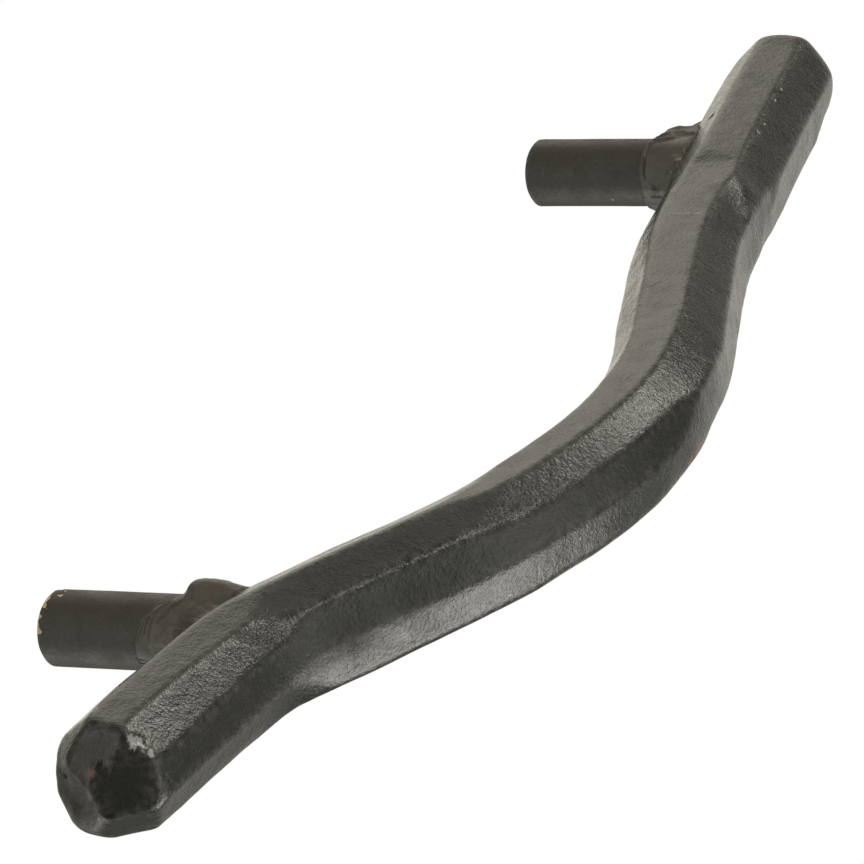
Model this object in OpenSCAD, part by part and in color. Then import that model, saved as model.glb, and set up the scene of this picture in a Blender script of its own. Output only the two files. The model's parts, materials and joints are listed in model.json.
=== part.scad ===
// Hand-forged bow pull: a hammered bar on two round posts, welded at the joints.
// Frame: the posts stand in a row along z, the hand is on the -y side and the door face is y = 0.
// The origin lies midway between the posts' door ends.
// "Out" is a distance from the door. Angles round the bar start at its hand side and turn towards +x.

/* [Grip bar] */
// Distance across the hammered flats of the bar
bar_across = 19.6; // [18:0.1:21]
// Distance from the door to the middle of the bar where it stands out most
bow_out = 71.4; // [68:0.2:76]
// Height above the origin where the upper end's hammered facets begin
high_end = 139; // [134:1:144]
// Distance below the origin where the lower end's hammered facets begin
low_end = 133; // [128:1:138]
// Radius with which a hammered flat runs out at its two ends
blow_radius = 30; // [20:1:60]

/* [Posts] */
// Distance between the axes of the posts
post_spacing = 184.8; // [180:0.2:190]
// Diameter of each post
post_d = 12.7; // [12:0.1:14]
// Width of the chamfer on the door end of each post
post_chamfer = 0.5; // [0.2:0.1:1]
// Depth to which a post's end is let into the back of the bar
post_seat = 0.4; // [0.2:0.1:1]

/* [Threaded holes] */
// Core diameter of the thread in each post
hole_d = 6.8; // [5:0.1:7]
// Depth of each hole at full diameter
hole_depth = 20; // [12:1:22]

/* [Welds] */
// Reach of the upper weld along its post
upper_leg = 11; // [9:0.5:13]
// Reach of the lower weld along its post
lower_leg = 8.5; // [7:0.5:10]
// Distance from a post's axis to the toe of its weld on the bar
weld_toe = 8.6; // [8:0.2:10]

/* [Hidden] */
iron = [0.20, 0.20, 0.18];
post_iron = [0.29, 0.28, 0.25];
weld_iron = [0.24, 0.23, 0.20];
flat_h = bar_across / 2;
corner_h = flat_h * 1.2;
post_r = post_d / 2;
upper_z = post_spacing / 2;
lower_z = -post_spacing / 2;
station_gap = 3.5;
snap = 0.001;
reach = 60;
run_steps = 9;
run_start = -20;

// Centreline of the bar as [height, out] for a bow of the standard height
bow_knots = [[-150, 30.5], [-115, 37], [-80, 44.5], [-50, 51.2], [-25, 60], [0, 68.8], [21, 71.4],
             [42, 68.5], [62, 61.5], [82, 50], [98, 42], [115, 39], [150, 37.2]];
standard_out = 71.4;
last_knot = len(bow_knots) - 1;

// Hammered flats: [height of the middle, half length, angle round the bar, depth, rise per mm of height]
flats = [
    // upper arm
    [122, 22, -38, 0.6, 0], [122, 22, 5, 0, 0], [116, 18, 45, 0, -0.02], [122, 22, 83, 0, 0],
    [124, 22, 125, 0, 0], [118, 24, 170, 0, 0], [122, 26, 218, 0, 0], [124, 20, 268, 0, 0],
    // upper slope of the bow
    [60, 38, -17, 0, 0], [56, 36, 20, 0, 0], [80, 17, 66, 0, 0], [76, 20, 112, 0, 0],
    [72, 24, 157, 0, 0], [76, 22, 203, 0, 0], [70, 26, 248, 0, 0], [74, 24, 296, 0, 0],
    // top of the bow
    [26, 32, 51, 0, 0], [20, 38, 95, 0, 0], [22, 36, 140, 0, 0], [18, 34, 185, 0, 0],
    [16, 36, 225, 0, 0], [14, 34, 262, 0, 0], [20, 30, 302, 0, 0],
    // lower slope of the bow
    [-30, 44, 0, 0, 0], [-34, 30, 45, 0, 0], [-46, 26, 90, 0.3, 0.02], [-44, 30, 138, 0, 0],
    [-40, 32, 182, 0, 0], [-44, 30, 228, 0, 0], [-42, 32, 272, 0, 0], [-34, 38, 316, 0, 0],
    // lower arm
    [-108, 38, -12, 0, 0], [-104, 36, 37, 0, 0], [-108, 31, 84, 0, 0], [-106, 36, 128, 0, 0],
    [-104, 36, 172, 0, 0], [-108, 34, 218, 0, 0], [-106, 36, 262, 0, 0], [-104, 34, 305, 0, 0],
];

// Hammered end facets: [angle round the bar, lean from square, distance from the middle of the end]
high_facets = [[100, 12, 8.2], [22, 38, 6.9], [190, 27, 6], [-62, 56, 7.2], [85, 48, 7.4], [48, 55, 8.5],
              [-5, 62, 9.2], [250, 50, 8.2], [145, 50, 8], [125, 70, 8.6]];
low_facets = [[0, 8, 7.5], [-12, 60, 8.6], [37, 58, 9.4], [84, 55, 9.2], [128, 50, 9], [172, 45, 9],
               [218, 50, 9.4], [262, 55, 9.2], [305, 60, 8.8], [-30, 84, 8.8]];

function knot_slope(i) =
    let (a = bow_knots[max(i - 1, 0)], b = bow_knots[min(i + 1, last_knot)])
    (b[1] - a[1]) / (b[0] - a[0]);
function knot_below(z, i = 0) = i >= last_knot - 1 || z < bow_knots[i + 1][0] ? i : knot_below(z, i + 1);
function hermite(t, a, b, slope_a, slope_b) =
    (2 * t ^ 3 - 3 * t ^ 2 + 1) * a + (t ^ 3 - 2 * t ^ 2 + t) * slope_a
    + (3 * t ^ 2 - 2 * t ^ 3) * b + (t ^ 3 - t ^ 2) * slope_b;
function bow_from(z, i) =
    let (a = bow_knots[i], b = bow_knots[i + 1], gap = b[0] - a[0])
    hermite((z - a[0]) / gap, a[1], b[1], knot_slope(i) * gap, knot_slope(i + 1) * gap);

// Distance of the bar's centreline from the door at height z, and its slope there
function bow(z) = bow_out / standard_out * bow_from(z, knot_below(z));
function bow_angle(z) = atan(bow(z + 0.5) - bow(z - 0.5));

// Distance of a flat's plane from the centreline at height z
function flat_out(f, z) =
    flat_h - f[3] + f[4] * (z - f[0]) + max(0, abs(z - f[0]) - f[1]) ^ 2 / (2 * blow_radius);

// The working flats at height z, each as [angle, distance]
function flats_at(z) = [for (f = flats) let (d = flat_out(f, z)) if (d < corner_h) [f[2], d]];
function crossing(f, g) =
    [f[1] * sin(g[0]) - g[1] * sin(f[0]), g[1] * cos(f[0]) - f[1] * cos(g[0])] / sin(g[0] - f[0]);
function kept(p, cuts) = max([for (c = cuts) p * [cos(c[0]), sin(c[0])] - c[1]]) < snap;

// Corners of the bar's section at height z, in no order
function corners(z) =
    let (cuts = flats_at(z), last = len(cuts) - 1)
    [for (i = [0 : last - 1], j = [i + 1 : last])
        if (abs(sin(cuts[i][0] - cuts[j][0])) > snap)
            let (p = crossing(cuts[i], cuts[j])) if (kept(p, cuts)) p];

// A corner's place in space: away from the door, towards +x and along the bar
function placed(p, z) =
    let (a = bow_angle(z))
    [p[1], -bow(z) - p[0] * cos(a), z - p[0] * sin(a)];

// Turns a shape so that its z axis follows the bar at height z and its x axis points at the hand
module on_bar(z) {
    translate([0, -bow(z), z])
        rotate([bow_angle(z), 0, 0])
        rotate(-90)
        children();
}

// Stretch of bar between two heights; only its points count, because it is always inside hull()
module stretch(from, to) {
    points = [for (z = [from, to], p = corners(z)) placed(p, z)];
    polyhedron(points, [for (i = [0 : len(points) - 3]) [i, i + 1, i + 2]]);
}

module bar_run(from, to) {
    steps = ceil((to - from) / station_gap);
    gap = (to - from) / steps;
    for (i = [0 : steps - 1])
        hull() stretch(from + i * gap, from + (i + 1) * gap);
}

// Everything beyond one end facet; turn is 0 at the upper end of the bar and 180 at the lower
module beyond_facet(f, turn) {
    rotate([0, abs(turn - f[1]), f[0]])
        translate([-reach / 2, -reach / 2, f[2]])
        cube(reach);
}

module forged_bar() {
    difference() {
        bar_run(-low_end - 9, high_end + 10);
        on_bar(high_end) for (f = high_facets) beyond_facet(f, 0);
        on_bar(-low_end) for (f = low_facets) beyond_facet(f, 180);
    }
}

// Everything on the hand side of the plane where the post at height z meets the bar
module beyond_seat(z) {
    on_bar(z)
        translate([-flat_h + post_seat, -reach / 2, -reach / 2])
        cube(reach);
}

module post_blank(z) {
    difference() {
        translate([0, 0, z]) rotate([90, 0, 0]) {
            cylinder(r1 = post_r - post_chamfer, r2 = post_r, h = post_chamfer, $fn = 64);
            translate([0, 0, post_chamfer]) cylinder(r = post_r, h = bow(z) - post_chamfer, $fn = 64);
        }
        beyond_seat(z);
    }
}

module post(z) {
    difference() {
        post_blank(z);
        translate([0, 0, z]) rotate([90, 0, 0]) {
            translate([0, 0, -1]) cylinder(d = hole_d, h = hole_depth + 1, $fn = 48);
            translate([0, 0, hole_depth]) cylinder(d1 = hole_d, d2 = 0, h = hole_d * 0.3, $fn = 48);
        }
    }
}

// Out of the back of the bar at height z and distance x from its middle
function bar_back(z, x) = bow(z) - sqrt(max(flat_h ^ 2 - x ^ 2, 0)) / cos(bow_angle(z));

module bead(p, r) {
    translate([p[0], -p[1], p[2]]) sphere(r = r, $fn = 16);
}

// The beads at angle a round the post at height z: one on the post, one on the bar
module weld_rib(z, a, leg) {
    foot_z = z + post_r * cos(a);
    toe_z = z + weld_toe * (0.9 + 0.1 * cos(a)) * cos(a);
    toe_x = weld_toe * 0.93 * sin(a);
    bead([post_r * sin(a), bar_back(foot_z, 0) - leg + 0.8, foot_z], 0.8);
    bead([toe_x, bar_back(toe_z, toe_x) + 0.6, toe_z], 1.6);
}

// Half of a weld round the post at height z; side is 0 for the front half and 180 for the back half
module weld_run(z, side, leg) {
    turn = 180 / run_steps;
    difference() {
        intersection() {
            union() {
                for (i = [-1 : run_steps])
                    hull() {
                        weld_rib(z, run_start + side + i * turn, leg);
                        weld_rib(z, run_start + side + (i + 1) * turn, leg);
                    }
                children();
            }
            translate([0, 0, z])
                rotate([0, run_start + side, 0])
                translate([0, -reach, -reach / 2])
                cube(reach);
        }
        post_blank(z);
        forged_bar();
    }
}

// Lump left on the upper weld where the run stopped
module upper_lump() {
    hull() {
        bead([5.2, 27.5, upper_z - 3], 2.8);
        bead([5.4, 31.5, upper_z - 4.5], 3.6);
    }
}

// Tail of the lower weld, drawn out along the side of the bar
module lower_tail() {
    hull() {
        bead([7, 30.5, lower_z], 1.8);
        bead([8, 33.5, lower_z - 7], 1.6);
    }
    hull() {
        bead([8, 33.5, lower_z - 7], 1.6);
        bead([8.4, 35, lower_z - 10.5], 1.1);
    }
}

module grip_bar() {
    color(iron) difference() {
        forged_bar();
        post_blank(upper_z);
        post_blank(lower_z);
    }
}
module upper_post() { color(post_iron) post(upper_z); }
module lower_post() { color(post_iron) post(lower_z); }
module upper_weld_front_run() { color(weld_iron) weld_run(upper_z, 0, upper_leg) upper_lump(); }
module upper_weld_back_run() { color(weld_iron) weld_run(upper_z, 180, upper_leg); }
module lower_weld_front_run() { color(weld_iron) weld_run(lower_z, 0, lower_leg) lower_tail(); }
module lower_weld_back_run() { color(weld_iron) weld_run(lower_z, 180, lower_leg); }

grip_bar();
upper_post();
lower_post();
upper_weld_front_run();
upper_weld_back_run();
lower_weld_front_run();
lower_weld_back_run();
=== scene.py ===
"""Looks of the hand-forged bow pull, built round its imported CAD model.

The bar, the posts and the weld runs are remade as fine meshes on the CAD surfaces, with softened
hammer arrises, dents, real threads, chipped rims and drawn-out weld metal.

Shape code works in millimetres, and pieces are made in metres. "Out" is a distance from the door, and
a height is a z coordinate. Angles round the bar start at its hand side, angles round a post start at
+z, and both turn towards +x.
"""
import json
import math

import bpy
import numpy as np
from mathutils import Matrix, Vector, noise
from mathutils.bvhtree import BVHTree


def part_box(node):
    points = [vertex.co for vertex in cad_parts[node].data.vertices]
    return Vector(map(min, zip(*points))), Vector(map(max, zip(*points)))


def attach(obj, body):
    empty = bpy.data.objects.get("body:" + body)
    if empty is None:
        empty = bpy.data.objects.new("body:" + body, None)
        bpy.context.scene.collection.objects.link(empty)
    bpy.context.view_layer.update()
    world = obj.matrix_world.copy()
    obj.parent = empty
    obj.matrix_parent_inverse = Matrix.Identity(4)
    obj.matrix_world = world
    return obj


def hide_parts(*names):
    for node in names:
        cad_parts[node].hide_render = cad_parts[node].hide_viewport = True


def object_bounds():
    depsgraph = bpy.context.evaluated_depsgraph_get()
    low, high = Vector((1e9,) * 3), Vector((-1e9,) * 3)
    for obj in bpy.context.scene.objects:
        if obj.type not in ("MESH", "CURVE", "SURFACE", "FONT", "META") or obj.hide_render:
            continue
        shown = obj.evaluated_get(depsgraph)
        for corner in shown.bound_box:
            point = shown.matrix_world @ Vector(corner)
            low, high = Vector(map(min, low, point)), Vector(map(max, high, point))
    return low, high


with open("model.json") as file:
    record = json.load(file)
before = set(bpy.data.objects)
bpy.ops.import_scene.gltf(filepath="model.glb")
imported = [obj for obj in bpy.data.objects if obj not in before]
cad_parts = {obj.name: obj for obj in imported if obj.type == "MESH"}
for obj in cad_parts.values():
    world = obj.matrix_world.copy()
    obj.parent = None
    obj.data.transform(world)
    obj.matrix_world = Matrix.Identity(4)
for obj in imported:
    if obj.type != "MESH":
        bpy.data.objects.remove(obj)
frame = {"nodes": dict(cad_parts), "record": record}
cad_low, cad_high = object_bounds()

MM = 0.001
# A ray cast from this far off starts outside the pull
FAR = 400.0
# Radii this close to an edge's count as on it
SLACK = 0.01

# ---------------------------------------------------------------- sizes from the frame

mount_dims = {mount["name"]: mount["dims"] for mount in frame["record"]["mounts"]}
POST_SPACING = mount_dims["door_bolts"]["spacing_y_mm"]
HOLE_R = mount_dims["upper_post_thread"]["r_mm"]
HOLE_DEPTH = mount_dims["upper_post_thread"]["length_mm"]
UPPER_Z = POST_SPACING / 2
LOWER_Z = -POST_SPACING / 2
POST_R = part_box("upper_post")[1].x / MM

# ---------------------------------------------------------------- grip bar

# Points round the bar, and the gap between its rings
BAR_AROUND = 144
BAR_STEP = 0.5
# Steps of the fan of rings over each end, and how far inside the end the fan's centre lies
FAN_STEPS = 26
END_CENTRE = 9.0
# Heights at which the bar's axis is measured, and how many of them are smoothed together
AXIS_POINTS = 200
AXIS_SMOOTHING = 15

# Share of the way to its neighbours' mean that a point moves in a round of softening
SOFTENING = 0.5
# Rounds of softening: on every arris, and again on the ends, fading in from before to past the fan's centre
ARRIS_ROUNDS = 4
END_ROUNDS = 2
END_FADE = (-8, 2)
# Where the hammering is worn softer: (height, half length, angle, half angle, rounds)
SOFT_SPOTS = [
    (55, 50, 0, 400, 8),
    (14, 12, -50, 60, 40),
    (92, 14, -14, 22, 120),
    (-138, 9, 0, 400, 16),
]
# Rounds of softening that flatten an arris away, and the height over that flattened shape of a full arris
FLAT_ROUNDS = 40
ARRIS_HEIGHT = 0.25

# Thickness of the coat, and the size and depth of the dents and pits in the bar
COAT = 0.14
DENT_SIZE, DENT_DEPTH = 11.0, 0.10
PIT_SIZE, PIT_DEPTH = 2.6, 0.03
# Swellings and hollows along the bar: (height, half length, angle, half angle, rise)
BAR_SWELLS = [
    (1, 13, -38, 26, -0.9),
    (34, 13, -50, 28, 0.5),
    (52, 20, -60, 30, 0.35),
    (87, 12, -48, 17, 0.5),
    (118, 16, -55, 25, 0.3),
    (-70, 4, 40, 18, 0.35),
    (-60, 4, 38, 18, -0.35),
]
# Swellings and hollows on the two ends: (end, direction from the fan's centre, spread, rise)
END_SWELLS = [
    ("upper", (0.20, 0.88, 0.44), 0.10, -0.6),
    ("upper", (-0.60, 0.51, 0.62), 0.10, 0.9),
    ("lower", (0.90, 0.02, -0.44), 0.08, 0.5),
    ("lower", (0.23, -0.78, -0.60), 0.06, -0.5),
    ("lower", (-0.50, -0.82, -0.26), 0.06, 0.4),
]
# Distances from the fan's centre between which the end swellings die out
END_SWELL_FADE = (12, 20)

# Chips on the upper end, each knocked out of the coat and the steel, with their bare colour painted bright
# as glints: (place, radius, depth)
END_CHIPS_AND_GLINTS = [
    ((8.2, -43.4, 139.6), 0.8, 0.15),
    ((7.4, -44.4, 138.9), 0.9, 0.2),
    ((6.6, -44.4, 139.8), 1.4, 0.3),
    ((5.0, -45.9, 139.2), 0.9, 0.15),
]
# Size of the ragged edges of those chips, and the noise between which they break off
CHIP_RAG, CHIP_BREAK = 0.9, (-0.2, 0.05)
# A small crater: (place, radius, depth), its lip's width in radii, and the share of the depth that its lip
# rises and its pit sinks below that
CRATER = ((5.1, -40.5, 144.2), 1.2, 0.32)
LIP_WIDTH, LIP_RISE, PIT_SINK = 1.5, 0.6, 1.6
# Nicks in the steel under the coat: (place, radius, depth)
NOTCHES = [
    ((2.4, -31.3, 142.6), 0.8, 0.5),
    ((8.9, -34.7, -98.9), 0.9, 0.5),
]
# Spots of rust, and spots along the upper end's edge where a lit strip is painted lighter as a painted
# highlight: (place, radius)
RUST_SPOTS = [
    ((4.5, -38.5, 145.0), 0.55),
    ((-3.9, -80.8, 14.5), 1.1),
    ((-4.6, -80.4, 17.5), 0.9),
]
PAINTED_HIGHLIGHT_SPOTS = [
    ((3.6, -47.2, 139.9), 1.1),
    ((0.5, -47.5, 139.0), 1.5),
    ((-1.9, -47.7, 138.5), 1.2),
]
# Bright specks in the coat, painted as glints, each of about this radius
SPECK_GLINT_R = 0.42
SPECK_GLINTS = [(8.3, -43.7, -112.0), (8.4, -44.8, -106.6), (8.2, -47.3, -95.6), (8.5, -48.1, -91.1)]
# A scratch across the bar's +x side: its height, half width and least x, and how far out it starts and ends
SCRATCH_Z, SCRATCH_HALF_WIDTH, SCRATCH_LEAST_X = -52.4, 0.35, 8.6
SCRATCH_START, SCRATCH_END = 46.5, 54.7
# Where the coat is rubbed dull: (height, half length, angle, half angle, strength)
DULL_SPOTS = [
    (84, 8, 10, 20, 1.0),
    (96, 9, -4, 22, 0.8),
    (-62, 10, 60, 30, 0.3),
]
# How far the coat is worn on a full arris, where the lighter worn colour is also a painted highlight along
# it, and how bare the scratch is
ARRIS_WEAR_AND_HIGHLIGHT = 0.6
SCRATCH_BARE = 0.6

# ---------------------------------------------------------------- posts

POST_AROUND = 112
POST_CHAMFER = 0.5
# Gaps between rings along a post, and within RIM_LENGTH of its door end
POST_STEP = 0.8
RIM_STEP, RIM_LENGTH = 0.15, 3.0
# Depth and size of the waves in a post's surface
POST_WAVE, POST_WAVE_SIZE = 0.03, 7.0
# The rim is chipped most at this angle round the post, to this depth, with ragged edges of this size
CHIP_ANGLE = 72
CHIP_DEPTH = 0.22
RIM_RAG = 1.3
# How far along the post the chips reach: on a whole rim, more on a chipped one, and more again in a tongue
RIM_REACH, CHIPPED_REACH, TONGUE_REACH = 1.0, 0.6, 1.8
TONGUE_ANGLE, TONGUE_HALF_ANGLE = 97, 16
# Cosines of the angle off CHIP_ANGLE between which the rim is knocked, the pull of the rim on the ragged
# noise, and the levels between which the coat breaks off
RIM_KNOCKED, RIM_PULL, RIM_BREAK = (0.1, 0.95), 0.9, (0.2, 0.55)
# How far the coat is worn on the rim, and the distances from the chamfer's edge between which that fades
RIM_WEAR, RIM_WEAR_FADE = 0.8, (0.2, 1.0)
THREAD_PITCH, THREAD_DEPTH = 1.25, 0.6
THREAD_RINGS_PER_TURN = 9
MOUTH_CHAMFER = 0.7
# Distances from the bottom of the hole between which the thread runs out
THREAD_RUN_OUT = (3, 1)
# Depth of the drilled point at the bottom of the hole, for each millimetre of its radius
DRILL_POINT = 0.6

# ---------------------------------------------------------------- welds

# Points across a weld's skin, the angle between its sections, and the share of the way to the bar that its
# start runs along the post
WELD_SKIN = 56
WELD_STEP = 1.25
WELD_LEAD = 0.22
# How far the hidden side of a weld lies inside the post, out from its foot, out from its toe at the post,
# and inside the bar
WELD_IN_POST = 0.8
WELD_FOOT_DEPTH = 0.6
WELD_TOE_DEPTH = 1.4
WELD_IN_BAR = 1.2
# Each toe is the bar's nearest point to an aim this far behind the bar
WELD_AIM_GAP = 4
# The skin stays at least this far off the post, apart from its foot, which sinks in by WELD_FOOT_SINK
WELD_LEAST = 0.3
WELD_FOOT_SINK = 0.12
# The two ends of a run sink in by this much over this angle
WELD_END_SINK, WELD_END_ANGLE = 0.1, 7
# Height and size of a weld's waves and grain, and the share and size by which its rings and lines sway
WELD_WAVE, WELD_WAVE_SIZE = 0.35, 4.5
WELD_GRAIN, WELD_GRAIN_SIZE = 0.14, 1.6
WELD_SWAY, WELD_SWAY_SIZE = 0.035, 5.0
# Degrees that a line sways by for a whole share
LINE_SWAY = 120
# Shares across the skin between which its waves, its lines, all of its relief, its place off the post and
# its level past the sunk foot come in
WAVES_START, LINES_START, RELIEF_START = (0, 0.2), (0.04, 0.3), (0, 0.06)
CLEAR_START, FOOT_END = (0.03, 0.25), (0, 0.05)
# Strength and size of the rust spots, their levels, and the shares between which they start near the toe
WELD_RUST, WELD_RUST_SIZE, WELD_RUST_LEVELS, WELD_RUST_START = 0.2, 0.9, (0.0, 0.4), (0.7, 0.95)
# How strongly the weld's ridges are painted lighter as a painted highlight, and the heights between which
# they are
WELD_RIDGE_HIGHLIGHT, WELD_RIDGE_HIGHLIGHT_HEIGHTS = 0.9, (0.15, 0.8)

# Weld runs. span is the run's first and last angle round the post. foot, toe and dip are (angle, value)
# knots: the foot's distance out, the toe's distance from the post's axis and the hollowness of the
# section. A share runs from 0 at the foot to 1 at the toe. rings run round the post, lines run along it
# and lumps stand on it:
#   rings are (share, drift in share per degree, half width, height, angle, half angle)
#   lines are (angle, drift in degrees to the toe, half width in degrees, height)
#   lumps are (angle, share, half angle, half width, height)
# The two runs of one joint have one seed, so they meet without a step.
WELDS = {
    "upper_weld_front": dict(
        z=UPPER_Z, span=(-24, 164), seed=11,
        foot=[(-24, 18.6), (0, 18.6), (46, 19.8), (63, 21.0), (85, 23.7), (100, 24.3), (130, 25.0),
              (164, 25.5)],
        toe=[(-24, 8.2), (30, 9.2), (70, 10.2), (95, 10.6), (125, 10.6), (145, 9.2), (164, 8.6)],
        dip=[(-24, 0.55), (-12, 0.55), (20, 0.4), (50, 0.2), (80, -0.1), (105, -0.7), (130, -0.6),
             (150, 0.4), (164, 0.5)],
        rings=[(0.15, 0.001, 0.045, 0.50, 50, 35), (0.40, 0.003, 0.05, 0.60, 70, 28)],
        lines=[],
        lumps=[(113, 0.66, 22, 0.28, 2.1), (112, 0.36, 22, 0.2, 0.7), (80, 0.6, 14, 0.25, 0.4),
               (52, 0.72, 12, 0.2, -0.7)]),
    "upper_weld_back": dict(
        z=UPPER_Z, span=(156, 344), seed=11,
        foot=[(156, 25.4), (200, 24.0), (260, 20.5), (300, 18.8), (344, 18.6)],
        toe=[(156, 8.6), (220, 8.8), (280, 8.2), (344, 8.2)],
        dip=[(156, 0.45), (250, 0.7), (344, 0.55)],
        rings=[(0.25, 0.0, 0.06, 0.35, 220, 50), (0.55, 0.001, 0.06, 0.35, 270, 50)],
        lines=[],
        lumps=[(210, 0.4, 16, 0.25, 0.5)]),
    "lower_weld_front": dict(
        z=LOWER_Z, span=(-24, 164), seed=31,
        foot=[(-24, 24.0), (0, 24.4), (30, 24.0), (60, 24.0), (90, 25.0), (117, 26.2), (150, 26.0),
              (164, 25.7)],
        toe=[(-24, 8.2), (20, 8.6), (60, 10.0), (90, 12.0), (115, 13.5), (140, 14.0), (164, 12.5)],
        dip=[(-24, 0.55), (-12, 0.55), (10, 0.5), (60, 0.4), (90, -0.1), (112, -0.9), (140, -0.6),
             (164, 0.5)],
        rings=[(0.13, 0.0, 0.07, 0.65, 60, 45)],
        lines=[(86, 8, 2.5, 0.45), (96, 10, 2.5, 0.5), (107, 12, 3, 0.5)],
        lumps=[(-4, 0.3, 10, 0.13, 0.9), (108, 0.52, 22, 0.34, 0.85)]),
    "lower_weld_back": dict(
        z=LOWER_Z, span=(156, 344), seed=31,
        foot=[(156, 25.8), (200, 24.4), (260, 23.2), (300, 23.4), (344, 24.1)],
        toe=[(156, 12.8), (190, 9.6), (260, 8.4), (344, 8.2)],
        dip=[(156, 0.35), (250, 0.7), (344, 0.55)],
        rings=[(0.3, 0.0, 0.07, 0.35, 240, 60)],
        lines=[],
        lumps=[(300, 0.3, 14, 0.25, 1.2), (356, 0.3, 10, 0.13, 0.9)]),
}

# ---------------------------------------------------------------- camera and light

# The camera's direction and roll in degrees, its distance, where it aims, and its lens and sensor
VIEW_SIDE, VIEW_RISE, VIEW_ROLL = 39.17, 51.47, 134.8
VIEW_DISTANCE = 950.0
VIEW_AIM = (-10.3, -19.9, -2.3)
LENS, SENSOR = 225.2, 36.0
# How far below the pull the floor is, and half its width
FLOOR_GAP, FLOOR_HALF = 60.0, 20000.0
# Directions in the light tent are (right, up, towards the camera) as the camera sees them.
# The light is a little warmer from one side.
WARM_SIDE = (-0.6, 0.6, -0.5)
WARM_TINT = (1.0, 0.95, 0.83)
COOL_TINT = (1.0, 0.98, 0.915)
# Brightness of the tent round the camera and behind the pull
TENT_FRONT, TENT_BACK = 0.092, 0.10
# Soft lights seen through the tent: (direction from the pull, spread, strength)
SOFT_LIGHTS = [
    ((0.5, 0.83, -0.2), 0.011, 9.0),
    ((0.76, -0.63, -0.14), 0.035, 7.0),
    ((0.05, 0.97, -0.05), 0.04, 0.9),
    ((-0.2, 0.75, -0.65), 0.05, 1.4),
    ((0.5, 0.77, 0.42), 0.006, 11.0),
    ((-0.2, 0.12, -0.97), 0.05, 1.0),
    ((-0.87, -0.1, 0.48), 0.08, 1.4),
    ((-0.65, 0.6, 0.4), 0.06, 1.1),
    ((0.9, 0.1, 0.4), 0.09, 1.6),
    ((-0.5, -0.85, -0.2), 0.1, 2.0),
    ((0.5, 0.1, -0.85), 0.08, 0.7),
    ((0.14, -0.32, 0.94), 0.02, 0.3),
]


# ---------------------------------------------------------------- shape helpers

def surface_of(node):
    """A tree of a CAD node's surface, in millimetres, for rays and nearest points."""
    mesh = frame["nodes"][node].data
    points = [v.co / MM for v in mesh.vertices]
    return BVHTree.FromPolygons(points, [tuple(p.vertices) for p in mesh.polygons])


def hit(tree, origin, direction, default):
    """Distance along a ray to the surface, or the default where the ray misses it."""
    found = tree.ray_cast(Vector(origin), Vector(direction))
    return found[3] if found[0] is not None else default


def rough(points, size, seed, octaves=2):
    """Smooth noise in about -1 to 1 at each point, with features of the given size."""
    shift = Vector((13.7 * seed, 7.1 * seed, 3.3 * seed))
    flat = points.reshape(-1, 3) / size
    values = [noise.fractal(Vector(p) + shift, 1.0, 2.0, octaves) for p in flat]
    return np.array(values).reshape(points.shape[:-1])


def hump(x, middle, width):
    """A smooth hump of height 1 at middle."""
    return np.exp(-((x - middle) / width) ** 2)


def ramp(x, start, end):
    """0 before start, 1 after end, smooth between."""
    t = np.clip((x - start) / (end - start), 0, 1)
    return t * t * (3 - 2 * t)


def around(grid, place, radius):
    """1 at a place on a grid, falling smoothly to 0 about a radius away."""
    return np.exp(-(np.linalg.norm(grid - np.array(place), axis=2) / radius) ** 4)


def with_ends(grid, start, end):
    """A tube grid with one more ring at each end, shrunk to the tube's end points."""
    first = np.broadcast_to(start, grid[:1].shape)
    last = np.broadcast_to(end, grid[:1].shape)
    return np.concatenate([first, grid, last])


def grid_normals(grid, start, end):
    """Outward normals of a tube grid of rings by points round each ring."""
    padded = with_ends(grid, start, end)
    along = padded[2:] - padded[:-2]
    across = np.roll(grid, -1, 1) - np.roll(grid, 1, 1)
    normals = np.cross(across, along)
    normals /= np.maximum(np.linalg.norm(normals, axis=2, keepdims=True), 1e-9)
    outwards = np.sum(normals * (grid - grid.mean(1, keepdims=True)))
    return normals if outwards > 0 else -normals


def relax(grid, start, end, rounds):
    """Softens a tube grid, which rounds its arrises."""
    for _ in range(rounds):
        padded = with_ends(grid, start, end)
        mean = (padded[2:] + padded[:-2] + np.roll(grid, 1, 1) + np.roll(grid, -1, 1)) / 4
        grid = grid + SOFTENING * (mean - grid)
    return grid


def tube_piece(name, grid, start, end, material, node, marks):
    """A closed piece from rings of points and a point at each end; it stands for one CAD node.

    marks are named values at the grid's points, which the material reads."""
    rings, per_ring = grid.shape[:2]
    points = np.concatenate([grid.reshape(-1, 3), [start], [end]]) * MM
    ring = np.arange(rings * per_ring).reshape(rings, per_ring)
    beside = np.roll(ring, -1, 1)
    quads = np.stack([ring[:-1], beside[:-1], beside[1:], ring[1:]], -1).reshape(-1, 4)
    first, last = rings * per_ring, rings * per_ring + 1
    caps = [(first, int(b), int(a)) for a, b in zip(ring[0], beside[0])]
    caps += [(last, int(a), int(b)) for a, b in zip(ring[-1], beside[-1])]
    mesh = bpy.data.meshes.new(name)
    mesh.from_pydata(points.tolist(), [], quads.tolist() + caps)
    for label, values in marks.items():
        layer = mesh.attributes.new(label, "FLOAT", "POINT")
        layer.data.foreach_set("value", np.append(values.ravel(), [0.0, 0.0]).astype(np.float32))
    mesh.polygons.foreach_set("use_smooth", [True] * len(mesh.polygons))
    mesh.materials.append(material)
    mesh.update()
    piece = bpy.data.objects.new(name, mesh)
    bpy.context.scene.collection.objects.link(piece)
    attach(piece, "root")
    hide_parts(node)


# ---------------------------------------------------------------- materials

def rgb(r, g, b):
    """An opaque colour."""
    return (r, g, b, 1.0)


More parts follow.
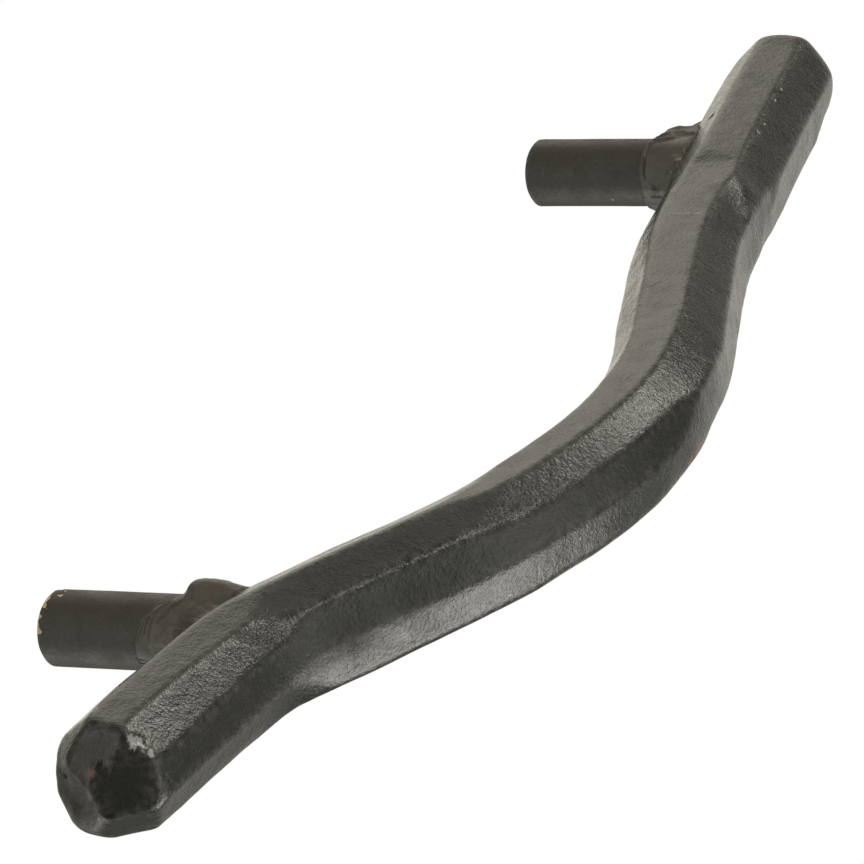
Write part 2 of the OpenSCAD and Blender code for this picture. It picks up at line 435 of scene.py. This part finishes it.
# Colours that every coat shares: rubbed wrinkle tops, worn arrises that are also painted highlights, rust,
# and gritty specks painted bright as glints
WRINKLE_TOPS = rgb(0.085, 0.082, 0.070)
WEAR_AND_HIGHLIGHT_COAT = rgb(0.10, 0.095, 0.082)
RUST = rgb(0.20, 0.060, 0.022)
GRIT_GLINT = rgb(0.35, 0.34, 0.31)
# Sizes of the patches of dust, the patches of gloss, the grain, the wrinkles, and the gaps between the
# gritty specks painted as glints
DUST_SIZE, GLOSS_SIZE, GRAIN_SIZE, WRINKLE_SIZE, GRIT_GLINT_GAP = 14.0, 5.0, 1.3, 0.55, 7.0
# Depth of the grain in every coat
GRAIN_DEPTH = 0.10
# Levels between which each of these comes in: dust, rubbed wrinkle tops, worn grain that is also painted
# highlight, bare chips painted bright as glints, gritty specks painted as glints, patches of gloss, gloss
# on wrinkles, and dust where the coat is rubbed dull
DUST_LEVELS, TOPS_LEVELS, GRAIN_LEVELS = (0.35, 0.7), (0.55, 0.75), (0.35, 0.7)
CHIP_LEVELS, GRIT_GLINT_LEVELS = (0.35, 0.6), (0.045, 0.02)
GLOSS_LEVELS, WRINKLE_LEVELS, DULL_LEVELS = (0.3, 0.7), (0.4, 0.6), (0.3, 0.6)
# Strength of the rubbed wrinkle tops
TOPS_RUBBED = 0.2
# How much rougher a coat is in its glossy and dull patches, between and on its wrinkles, and where it is
# rubbed dull, clean and dusty
GLOSS_ROUGHER = (-0.05, 0.07)
WRINKLE_ROUGHER = (0.05, -0.05)
DULL_ROUGHER = (0.12, 0.34)


class Nodes:
    """Short calls for building one material's nodes."""

    def __init__(self, tree):
        self.tree = tree
        tree.nodes.clear()

    def add(self, kind, inputs=None, **settings):
        node = self.tree.nodes.new(kind)
        for key, value in settings.items():
            setattr(node, key, value)
        for key, value in (inputs or {}).items():
            self.feed(node.inputs[key], value)
        return node

    def feed(self, socket, value):
        if isinstance(value, bpy.types.NodeSocket):
            self.tree.links.new(value, socket)
        else:
            socket.default_value = value

    def math(self, operation, a, b=0.0, c=0.0):
        return self.add("ShaderNodeMath", {0: a, 1: b, 2: c}, operation=operation).outputs[0]

    def dot(self, a, direction):
        node = self.add("ShaderNodeVectorMath", {0: a, 1: direction}, operation="DOT_PRODUCT")
        return node.outputs["Value"]

    def span(self, value, low, high, to_low=0.0, to_high=1.0):
        """to_low at low and to_high at high, smooth between."""
        node = self.add("ShaderNodeMapRange", {"Value": value, "From Min": low, "From Max": high,
                                               "To Min": to_low, "To Max": to_high},
                        interpolation_type="SMOOTHSTEP")
        return node.outputs["Result"]

    def colour(self, factor, a, b):
        """Colour a where factor is 0 and colour b where it is 1."""
        node = self.add("ShaderNodeMix", data_type="RGBA")
        for number, value in ((0, factor), (6, a), (7, b)):
            self.feed(node.inputs[number], value)
        return node.outputs[2]

    def noise(self, place, size, detail=2.0, roughness=0.5):
        node = self.add("ShaderNodeTexNoise", {"Vector": place, "Scale": 1 / (size * MM),
                                               "Detail": detail, "Roughness": roughness})
        return node.outputs["Fac"]

    def mark(self, label):
        """A mesh's own values, 0 where it has none."""
        return self.add("ShaderNodeAttribute", attribute_name=label).outputs["Fac"]


def coat_colour(n, place, dust, wrinkles, clean, dusty, bare_and_glint):
    """Dusty in patches, rubbed on wrinkles, worn and painted lighter as highlights where marked, rusty
    where marked, bare where marked with that colour painted bright as glints, and with gritty specks
    painted as glints.
    """
    colour = n.colour(n.span(dust, *DUST_LEVELS), rgb(*clean), rgb(*dusty))
    colour = n.colour(n.span(wrinkles, *TOPS_LEVELS, 0.0, TOPS_RUBBED), colour, WRINKLE_TOPS)
    grain = n.noise(place, GRAIN_SIZE, 3.0)
    # Worn coat and painted highlight: the marked places are painted lighter
    worn_and_lit = n.math("MULTIPLY", n.mark("wear"), n.span(grain, *GRAIN_LEVELS))
    colour = n.colour(worn_and_lit, colour, WEAR_AND_HIGHLIGHT_COAT)
    colour = n.colour(n.mark("rust"), colour, RUST)
    colour = n.colour(n.span(n.mark("chip"), *CHIP_LEVELS), colour, rgb(*bare_and_glint))
    # Painted glints: sparse gritty specks painted light grey
    grit_glint = n.add("ShaderNodeTexVoronoi", {"Vector": place, "Scale": 1 / (GRIT_GLINT_GAP * MM)})
    return n.colour(n.span(grit_glint.outputs["Distance"], *GRIT_GLINT_LEVELS), colour, GRIT_GLINT)


def coat_roughness(n, place, dust, wrinkles, roughness):
    """Uneven in patches, smoother on the wrinkles, and rough where it is rubbed dull."""
    glossy, dull = GLOSS_ROUGHER
    uneven = n.span(n.noise(place, GLOSS_SIZE), *GLOSS_LEVELS, roughness + glossy, roughness + dull)
    uneven = n.math("ADD", uneven, n.span(wrinkles, *WRINKLE_LEVELS, *WRINKLE_ROUGHER))
    rubbed = n.math("MULTIPLY", n.mark("dull"), n.span(dust, *DULL_LEVELS, *DULL_ROUGHER))
    return n.math("ADD", uneven, rubbed)


def coat_relief(n, place, wrinkles, wrinkle_depth):
    """Fine wrinkles over coarser grain."""
    fine = n.add("ShaderNodeBump", {"Height": wrinkles, "Distance": wrinkle_depth * MM, "Strength": 1.0})
    both = n.add("ShaderNodeBump", {"Height": n.noise(place, GRAIN_SIZE), "Distance": GRAIN_DEPTH * MM,
                                    "Strength": 1.0, "Normal": fine.outputs["Normal"]})
    return both.outputs["Normal"]


def coated_steel(name, clean, dusty, roughness, bare_and_glint, wrinkle_depth):
    """Satin black coat over steel."""
    material = bpy.data.materials.new(name)
    material.use_nodes = True
    n = Nodes(material.node_tree)
    place = n.add("ShaderNodeTexCoord").outputs["Object"]
    dust = n.noise(place, DUST_SIZE, 3.0)
    wrinkles = n.noise(place, WRINKLE_SIZE, 2.5, 0.6)
    surface = n.add("ShaderNodeBsdfPrincipled", {
        "Base Color": coat_colour(n, place, dust, wrinkles, clean, dusty, bare_and_glint),
        "Roughness": coat_roughness(n, place, dust, wrinkles, roughness),
        "IOR": 1.5,
        "Normal": coat_relief(n, place, wrinkles, wrinkle_depth)})
    n.add("ShaderNodeOutputMaterial", {"Surface": surface.outputs["BSDF"]})
    return material


# ---------------------------------------------------------------- grip bar

def bar_axis(tree):
    """Points down the middle of the bar, evenly spaced from one fan's centre to the other's."""
    low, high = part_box("grip_bar")
    z = np.linspace(high.z / MM - END_CENTRE, low.z / MM + END_CENTRE, AXIS_POINTS)
    front = np.array([-FAR + hit(tree, (0, -FAR, h), (0, 1, 0), FAR) for h in z])
    back = np.array([FAR - hit(tree, (0, FAR, h), (0, -1, 0), FAR) for h in z])
    kernel = np.hanning(AXIS_SMOOTHING)
    kernel /= kernel.sum()
    padded = np.pad((front + back) / 2, AXIS_SMOOTHING // 2, mode="reflect", reflect_type="odd")
    path = np.stack([np.zeros_like(z), np.convolve(padded, kernel, mode="valid"), z], 1)
    run = np.append(0, np.cumsum(np.linalg.norm(np.diff(path, axis=0), axis=1)))
    even = np.linspace(0, run[-1], int(run[-1] / BAR_STEP))
    return np.stack([np.interp(even, run, path[:, i]) for i in range(3)], 1)


def bar_grid(tree, axis, turn):
    """Rings of points on the CAD bar, across it and fanned over its ends, and the two end points."""
    tangent = np.gradient(axis, axis=0)
    tangent /= np.linalg.norm(tangent, axis=1, keepdims=True)
    side = np.array([1.0, 0, 0])
    hand = np.cross(side, tangent)
    hand *= np.sign(-hand[:, 1:2])
    lean = np.linspace(0, math.pi / 2, FAN_STEPS + 1)
    stations = [(axis[0], hand[0], -tangent[0], a) for a in lean[-2:0:-1]]
    stations += [(p, h, t, 0.0) for p, h, t in zip(axis, hand, tangent)]
    stations += [(axis[-1], hand[-1], tangent[-1], a) for a in lean[1:-1]]
    grid = np.zeros((len(stations), BAR_AROUND, 3))
    for i, (centre, front, out, a) in enumerate(stations):
        level = np.cos(turn)[:, None] * front + np.sin(turn)[:, None] * side
        rays = math.cos(a) * level + math.sin(a) * out
        for j, ray in enumerate(rays):
            grid[i, j] = centre + ray * hit(tree, centre, ray, END_CENTRE)
    start = axis[0] - tangent[0] * hit(tree, axis[0], -tangent[0], END_CENTRE)
    end = axis[-1] + tangent[-1] * hit(tree, axis[-1], tangent[-1], END_CENTRE)
    return grid, start, end


def patch(grid, turn, height, half_length, at, half_angle):
    """A smooth patch on the bar, 1 in its middle."""
    off_angle = (np.degrees(turn)[None, :] - at + 180) % 360 - 180
    return hump(grid[..., 2], height, half_length) * hump(off_angle, 0, half_angle)


def soften_bar(grid, start, end, axis, turn):
    """Rounds the hammer arrises, more where the bar is worn soft and on its ends."""
    grid = relax(grid, start, end, ARRIS_ROUNDS)
    for *spot, rounds in SOFT_SPOTS:
        soft = patch(grid, turn, *spot)
        grid = grid + soft[..., None] * (relax(grid, start, end, rounds) - grid)
    past_centre = np.maximum(grid[..., 2] - axis[0, 2], axis[-1, 2] - grid[..., 2])
    soft = ramp(past_centre, *END_FADE)
    return grid + soft[..., None] * (relax(grid, start, end, END_ROUNDS) - grid)


def bar_swells(grid, turn, axis):
    """Rise of the coat and of the hammered swellings and hollows at each point of the bar grid."""
    rise = np.full(grid.shape[:2], COAT)
    for *spot, amount in BAR_SWELLS:
        rise += amount * patch(grid, turn, *spot)
    for end, direction, spread, amount in END_SWELLS:
        ray = grid - (axis[0] if end == "upper" else axis[-1])
        length = np.linalg.norm(ray, axis=2)
        towards = ray @ np.array(direction) / length
        rise += amount * np.exp((towards - 1) / spread) * (1 - ramp(length, *END_SWELL_FADE))
    return rise


def bar_dents(grid):
    """Rise of the small dents and pits, of the crater and of the notches."""
    rise = DENT_DEPTH * rough(grid, DENT_SIZE, seed=1) + PIT_DEPTH * rough(grid, PIT_SIZE, seed=2)
    place, radius, depth = CRATER
    lip = LIP_RISE * around(grid, place, LIP_WIDTH * radius)
    pit = PIT_SINK * around(grid, place, radius)
    rise += depth * (lip - pit)
    for place, radius, depth in NOTCHES:
        rise -= depth * around(grid, place, radius)
    return rise


def bar_chips(grid):
    """Rise of the chips, and bareness of the chips, the specks and the scratch; on the chips and specks
    that bare colour is painted bright as glints.
    """
    rise = np.zeros(grid.shape[:2])
    bare_and_glint = np.zeros_like(rise)
    ragged = ramp(rough(grid, CHIP_RAG, seed=8, octaves=3), *CHIP_BREAK)
    # Painted glints: the chips' bare colour is painted bright
    for place, radius, depth in END_CHIPS_AND_GLINTS:
        chip = around(grid, place, radius) * ragged
        rise -= depth * chip
        bare_and_glint = np.maximum(bare_and_glint, chip)
    # Painted glints: bright specks on the far arm
    for place in SPECK_GLINTS:
        bare_and_glint = np.maximum(bare_and_glint, around(grid, place, SPECK_GLINT_R))
    x, out, z = grid[..., 0], -grid[..., 1], grid[..., 2]
    along = ramp(out, SCRATCH_START, SCRATCH_START + 1) * (1 - ramp(out, SCRATCH_END - 1, SCRATCH_END))
    scratch = hump(z, SCRATCH_Z, SCRATCH_HALF_WIDTH) * (x > SCRATCH_LEAST_X) * along
    return rise, np.maximum(bare_and_glint, SCRATCH_BARE * scratch)


def bar_wear_and_highlights(grid, start, end, normals):
    """Wear of the coat on the arrises, which is also a painted highlight, and painted highlight spots near
    the upper end.
    """
    stands_out = np.sum((grid - relax(grid, start, end, FLAT_ROUNDS)) * normals, 2)
    # Arrises are worn lighter, and that lighter colour also paints a highlight along them
    wear = ARRIS_WEAR_AND_HIGHLIGHT * np.clip(stands_out / ARRIS_HEIGHT, 0, 1)
    # Painted highlight: spots along the upper end's edge are painted lighter where a strip catches the
    # light
    for place, radius in PAINTED_HIGHLIGHT_SPOTS:
        wear = np.maximum(wear, around(grid, place, radius))
    return wear


def coated(point, centre):
    """An end point moved away from its fan's centre by the thickness of the coat."""
    ray = point - centre
    return point + ray / np.linalg.norm(ray) * COAT


def make_bar(material):
    tree = surface_of("grip_bar")
    axis = bar_axis(tree)
    turn = np.linspace(0, 2 * math.pi, BAR_AROUND, endpoint=False)
    grid, start, end = bar_grid(tree, axis, turn)
    grid = soften_bar(grid, start, end, axis, turn)
    normals = grid_normals(grid, start, end)
    chip_rise, bare_and_glint = bar_chips(grid)
    marks = {
        "wear": bar_wear_and_highlights(grid, start, end, normals),
        "chip": bare_and_glint,
        "rust": np.max([around(grid, place, radius) for place, radius in RUST_SPOTS], axis=0),
        "dull": sum(amount * patch(grid, turn, *spot) for *spot, amount in DULL_SPOTS),
    }
    grid = grid + normals * (bar_swells(grid, turn, axis) + bar_dents(grid) + chip_rise)[..., None]
    start, end = coated(start, axis[0]), coated(end, axis[-1])
    tube_piece("hammered_grip_bar", grid, start, end, material, "grip_bar", marks)


# ---------------------------------------------------------------- posts

def post_profile(length):
    """(radius, out) down the outside of a post, over its door end and into its threaded hole."""
    outside = [(POST_R, out) for out in np.arange(length, RIM_LENGTH, -POST_STEP)]
    rim = [(POST_R, out) for out in np.arange(RIM_LENGTH, POST_CHAMFER, -RIM_STEP)]
    edge = [(POST_R - POST_CHAMFER * t, POST_CHAMFER * (1 - t)) for t in np.linspace(0, 1, 5)]
    mouth_r = HOLE_R + MOUTH_CHAMFER
    face = [(r, 0.0) for r in np.linspace(POST_R - POST_CHAMFER, mouth_r, 7)[1:]]
    mouth = [(mouth_r - MOUTH_CHAMFER * t, MOUTH_CHAMFER * t) for t in np.linspace(0.2, 1, 5)]
    step = THREAD_PITCH / THREAD_RINGS_PER_TURN
    wall = [(HOLE_R, out) for out in np.arange(MOUTH_CHAMFER + step, HOLE_DEPTH, step)]
    drilled = [(HOLE_R * (1 - t), HOLE_DEPTH + DRILL_POINT * HOLE_R * t) for t in (0.0, 0.3, 0.6, 0.9)]
    return np.array(outside + rim + edge + face + mouth + wall + drilled)


def on_post(radius, out, turn, z):
    """Places at angles round a post at height z."""
    return np.stack([radius * np.sin(turn), -out, z + radius * np.cos(turn)], -1)


def thread_cut(radius, out, turn):
    """Depth of the thread cut into a post's hole."""
    turns = out / THREAD_PITCH - turn / (2 * math.pi)
    groove = 1 - np.abs(2 * (turns % 1) - 1)
    starts = ramp(out, MOUTH_CHAMFER, MOUTH_CHAMFER + THREAD_PITCH)
    stops = ramp(HOLE_DEPTH - out, *THREAD_RUN_OUT)
    return np.where(radius < HOLE_R + SLACK, THREAD_DEPTH * groove * starts * (1 - stops), 0)


def rim_chips(place, out, turn, seed, chipped):
    """Chips in the coat round a post's door end, most of them near CHIP_ANGLE."""
    knocked = ramp(np.cos(turn - math.radians(CHIP_ANGLE)), *RIM_KNOCKED)
    tongue = hump(np.degrees(turn), TONGUE_ANGLE, TONGUE_HALF_ANGLE)
    reach = RIM_REACH + chipped * (CHIPPED_REACH + TONGUE_REACH * tongue)
    ragged = rough(place, RIM_RAG, seed) + RIM_PULL * (1 - out / reach)
    return chipped * knocked * ramp(ragged, *RIM_BREAK)


def make_post(name, node, z, seed, chipped, material):
    """A post with a chipped rim and a threaded hole; chipped says how much of the rim is knocked bare."""
    low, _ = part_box(node)
    length = -low.y / MM
    profile = post_profile(length)
    turn = np.linspace(0, 2 * math.pi, POST_AROUND, endpoint=False)
    radius = np.repeat(profile[:, :1], POST_AROUND, 1)
    out = np.repeat(profile[:, 1:], POST_AROUND, 1)
    plain = on_post(radius, out, turn, z)
    outer = radius > POST_R - POST_CHAMFER - SLACK
    radius = radius + thread_cut(radius, out, turn)
    radius = radius + np.where(outer, POST_WAVE * rough(plain, POST_WAVE_SIZE, seed), 0)
    chips = np.where(outer, rim_chips(plain, out, turn, seed + 5, chipped), 0)
    radius = radius - CHIP_DEPTH * chips
    grid = on_post(radius, out, turn, z)
    start = np.array([0, -length, z])
    end = np.array([0, -HOLE_DEPTH - DRILL_POINT * HOLE_R, z])
    wear = np.where(outer, RIM_WEAR * (1 - ramp(np.abs(out - POST_CHAMFER), *RIM_WEAR_FADE)), 0)
    tube_piece(name, grid[:, ::-1], start, end, material, node,
               {"wear": wear[:, ::-1], "chip": chips[:, ::-1]})


# ---------------------------------------------------------------- welds

def eased(knots, x):
    """Values at x, easing from each (x, value) knot to the next."""
    knots = np.array(knots, float)
    i = np.clip(np.searchsorted(knots[:, 0], x) - 1, 0, len(knots) - 2)
    a, b = knots[i], knots[i + 1]
    return a[..., 1] + (b[..., 1] - a[..., 1]) * ramp((x - a[..., 0]) / (b[..., 0] - a[..., 0]), 0, 1)


def bar_back(tree, z):
    """How far out the back of the bar is at height z, straight behind its middle."""
    return hit(tree, (0, FAR, z), (0, -1, 0), FAR) - FAR


def weld_section(tree, z, angle, foot_out, reach, dip):
    """Weld metal cut at an angle round the post: its skin from foot to toe, then its hidden side."""
    across = np.array([math.sin(angle), 0, math.cos(angle)])
    outwards = np.array([0, -1, 0])
    axis = np.array([0, 0, z])
    foot = axis + across * POST_R + outwards * foot_out
    aim_out = bar_back(tree, z + reach * math.cos(angle)) - WELD_AIM_GAP
    toe = np.array(tree.find_nearest(Vector(axis + across * reach + outwards * aim_out))[0])
    toe_out = -toe[1]
    corner = axis + across * POST_R + outwards * toe_out
    pull = (foot + toe) / 2 + dip * (corner - (foot + toe) / 2)
    lead = foot + WELD_LEAD * (corner - foot)
    u = np.linspace(0, 1, WELD_SKIN)[:, None]
    skin = (1 - u) ** 3 * foot + 3 * u * (1 - u) ** 2 * lead + 3 * u ** 2 * (1 - u) * pull + u ** 3 * toe
    core = axis + across * (POST_R - WELD_IN_POST)
    under_toe = 0.9 * toe + 0.1 * corner + outwards * WELD_IN_BAR
    deep_toe = core + outwards * (toe_out + WELD_TOE_DEPTH)
    deep_foot = core + outwards * (foot_out + WELD_FOOT_DEPTH)
    turns = [toe, under_toe, deep_toe, deep_foot]
    hidden = [np.linspace(a, b, 5)[1:] for a, b in zip(turns, turns[1:])]
    return np.concatenate([skin] + hidden)


def weld_lift(skin, angle, u, shape):
    """Rise of a weld's skin from its waves, grain, rings, lines and lumps."""
    seed = shape["seed"]
    sway = WELD_SWAY * rough(skin, WELD_SWAY_SIZE, seed)
    lift = WELD_WAVE * rough(skin, WELD_WAVE_SIZE, seed + 1)
    lift = lift + WELD_GRAIN * rough(skin, WELD_GRAIN_SIZE, seed + 2)
    lift = lift * ramp(u, *WAVES_START)
    for at, drift, width, height, middle, half_angle in shape["rings"]:
        ring = hump(u + sway, at + drift * (angle - middle), width)
        lift = lift + height * ring * hump(angle, middle, half_angle)
    for at, drift, width, height in shape["lines"]:
        line = hump(angle + LINE_SWAY * sway, at + drift * u, width)
        lift = lift + height * line * ramp(u, *LINES_START)
    for middle, at, half_angle, width, height in shape["lumps"]:
        lift = lift + height * hump(angle, middle, half_angle) * hump(u, at, width)
    lift = lift * ramp(u, *RELIEF_START) - WELD_FOOT_SINK * (1 - ramp(u, *FOOT_END))
    first, last = shape["span"]
    inside = ramp(angle, first, first + WELD_END_ANGLE) * (1 - ramp(angle, last - WELD_END_ANGLE, last))
    return lift - WELD_END_SINK * (1 - inside)


def clear_of_post(skin, z, u):
    """Moves a weld's skin out to at least WELD_LEAST from the post, apart from its foot."""
    radius = np.hypot(skin[..., 0], skin[..., 2] - z)
    scale = np.maximum(1, (POST_R + WELD_LEAST * ramp(u, *CLEAR_START)) / radius)
    return np.stack([skin[..., 0] * scale, skin[..., 1], z + (skin[..., 2] - z) * scale], -1)


def make_weld(piece, shape, tree, material):
    """A weld run, from sections of weld metal round its post."""
    z, (first, last) = shape["z"], shape["span"]
    angles = np.arange(first, last + 0.01, WELD_STEP)
    knots = [eased(shape[name], angles) for name in ("foot", "toe", "dip")]
    sections = [weld_section(tree, z, math.radians(a), *values) for a, *values in zip(angles, *knots)]
    grid = np.array(sections)
    start, end = grid[0].mean(0), grid[-1].mean(0)
    normals = grid_normals(grid, start, end)[:, :WELD_SKIN]
    normals[0], normals[-1] = normals[1], normals[-2]
    angle = angles[:, None]
    u = np.linspace(0, 1, WELD_SKIN)[None, :]
    lift = weld_lift(grid[:, :WELD_SKIN], angle, u, shape)
    skin = grid[:, :WELD_SKIN] + normals * lift[..., None]
    grid[:, :WELD_SKIN] = clear_of_post(skin, z, u)
    spots = ramp(rough(skin, WELD_RUST_SIZE, shape["seed"] + 3), *WELD_RUST_LEVELS)
    rust = WELD_RUST * spots * ramp(u, *WELD_RUST_START)
    # Painted highlight: the ridges of the weld are painted lighter
    wear = WELD_RIDGE_HIGHLIGHT * ramp(lift, *WELD_RIDGE_HIGHLIGHT_HEIGHTS)
    hidden = np.zeros((len(angles), grid.shape[1] - WELD_SKIN))
    marks = {"rust": np.concatenate([rust, hidden], 1), "wear": np.concatenate([wear, hidden], 1)}
    tube_piece(piece, grid, start, end, material, piece + "_run", marks)


# ---------------------------------------------------------------- build the object

# The bar's bare colour is painted bright as glints on its chips and specks
bar_coat = coated_steel("bar_coat", clean=(0.016, 0.018, 0.015), dusty=(0.024, 0.024, 0.020),
                        roughness=0.20, bare_and_glint=(0.36, 0.355, 0.34), wrinkle_depth=0.10)
post_coat = coated_steel("post_coat", clean=(0.046, 0.042, 0.033), dusty=(0.053, 0.047, 0.037),
                         roughness=0.5, bare_and_glint=(0.62, 0.50, 0.34), wrinkle_depth=0.06)
weld_coat = coated_steel("weld_coat", clean=(0.066, 0.061, 0.051), dusty=(0.092, 0.085, 0.071),
                         roughness=0.38, bare_and_glint=(0.42, 0.40, 0.36), wrinkle_depth=0.07)

make_bar(bar_coat)
make_post("upper_threaded_post", "upper_post", UPPER_Z, seed=3, chipped=1.0, material=post_coat)
make_post("lower_threaded_post", "lower_post", LOWER_Z, seed=4, chipped=0.3, material=post_coat)
bar_tree = surface_of("grip_bar")
for weld, weld_shape in WELDS.items():
    make_weld(weld, weld_shape, bar_tree, weld_coat)


# ---------------------------------------------------------------- camera, floor and light

def camera_axes():
    """The camera's right, up and back directions."""
    side, rise, roll = (math.radians(v) for v in (VIEW_SIDE, VIEW_RISE, VIEW_ROLL))
    back = Vector((math.sin(side) * math.cos(rise), -math.cos(side) * math.cos(rise), math.sin(rise)))
    level_right = Vector((0, 0, 1)).cross(back).normalized()
    level_up = back.cross(level_right)
    up = level_up * math.cos(roll) + level_right * math.sin(roll)
    return up.cross(back), up, back


def make_camera():
    right, up, back = camera_axes()
    data = bpy.data.cameras.new("camera")
    data.lens = LENS
    data.sensor_width = SENSOR
    data.clip_start = 0.01
    data.clip_end = 100
    camera = bpy.data.objects.new("camera", data)
    turn = Matrix((right, up, back)).transposed().to_4x4()
    place = (Vector(VIEW_AIM) + back * VIEW_DISTANCE) * MM
    camera.matrix_world = Matrix.Translation(place) @ turn
    bpy.context.scene.collection.objects.link(camera)
    bpy.context.scene.camera = camera


def make_floor():
    """A plain white light-table floor well below the pull, which only the camera sees."""
    half = FLOOR_HALF * MM
    z = cad_low.z - FLOOR_GAP * MM
    mesh = bpy.data.meshes.new("floor")
    corners = [(-half, -half, z), (half, -half, z), (half, half, z), (-half, half, z)]
    mesh.from_pydata(corners, [], [(0, 1, 2, 3)])
    floor = bpy.data.objects.new("floor", mesh)
    material = bpy.data.materials.new("floor")
    material.use_nodes = True
    n = Nodes(material.node_tree)
    surface = n.add("ShaderNodeEmission", {"Color": rgb(1.0, 1.0, 1.0), "Strength": 1.0})
    n.add("ShaderNodeOutputMaterial", {"Surface": surface.outputs[0]})
    mesh.materials.append(material)
    floor.visible_glossy = False
    floor.visible_diffuse = False
    floor.visible_shadow = False
    bpy.context.scene.collection.objects.link(floor)


def make_tent():
    """A dim light tent round the pull with soft lights glowing through it; the camera sees plain white."""
    right, up, back = camera_axes()

    def facing(across, rise, towards):
        return tuple((right * across + up * rise + back * towards).normalized())

    world = bpy.data.worlds.new("tent")
    world.use_nodes = True
    bpy.context.scene.world = world
    n = Nodes(world.node_tree)
    direction = n.add("ShaderNodeTexCoord").outputs["Generated"]
    glow = n.span(n.dot(direction, tuple(back)), 0.9, 0.35, TENT_FRONT, TENT_BACK)
    for light, spread, strength in SOFT_LIGHTS:
        off_axis = n.math("SUBTRACT", 1.0, n.dot(direction, facing(*light)))
        lobe = n.math("EXPONENT", n.math("DIVIDE", off_axis, -spread))
        glow = n.math("MULTIPLY_ADD", lobe, strength, glow)
    seen = n.add("ShaderNodeLightPath").outputs["Is Camera Ray"]
    strength = n.math("MULTIPLY_ADD", n.math("SUBTRACT", 1.0, glow), seen, glow)
    warmth = n.span(n.dot(direction, facing(*WARM_SIDE)), -0.2, 0.7)
    tint = n.colour(warmth, rgb(*COOL_TINT), rgb(*WARM_TINT))
    tint = n.colour(seen, tint, rgb(1.0, 1.0, 1.0))
    surface = n.add("ShaderNodeBackground", {"Color": tint, "Strength": strength})
    n.add("ShaderNodeOutputWorld", {"Surface": surface.outputs[0]})


make_camera()
make_floor()
make_tent()
bpy.context.scene.view_settings.view_transform = "Standard"
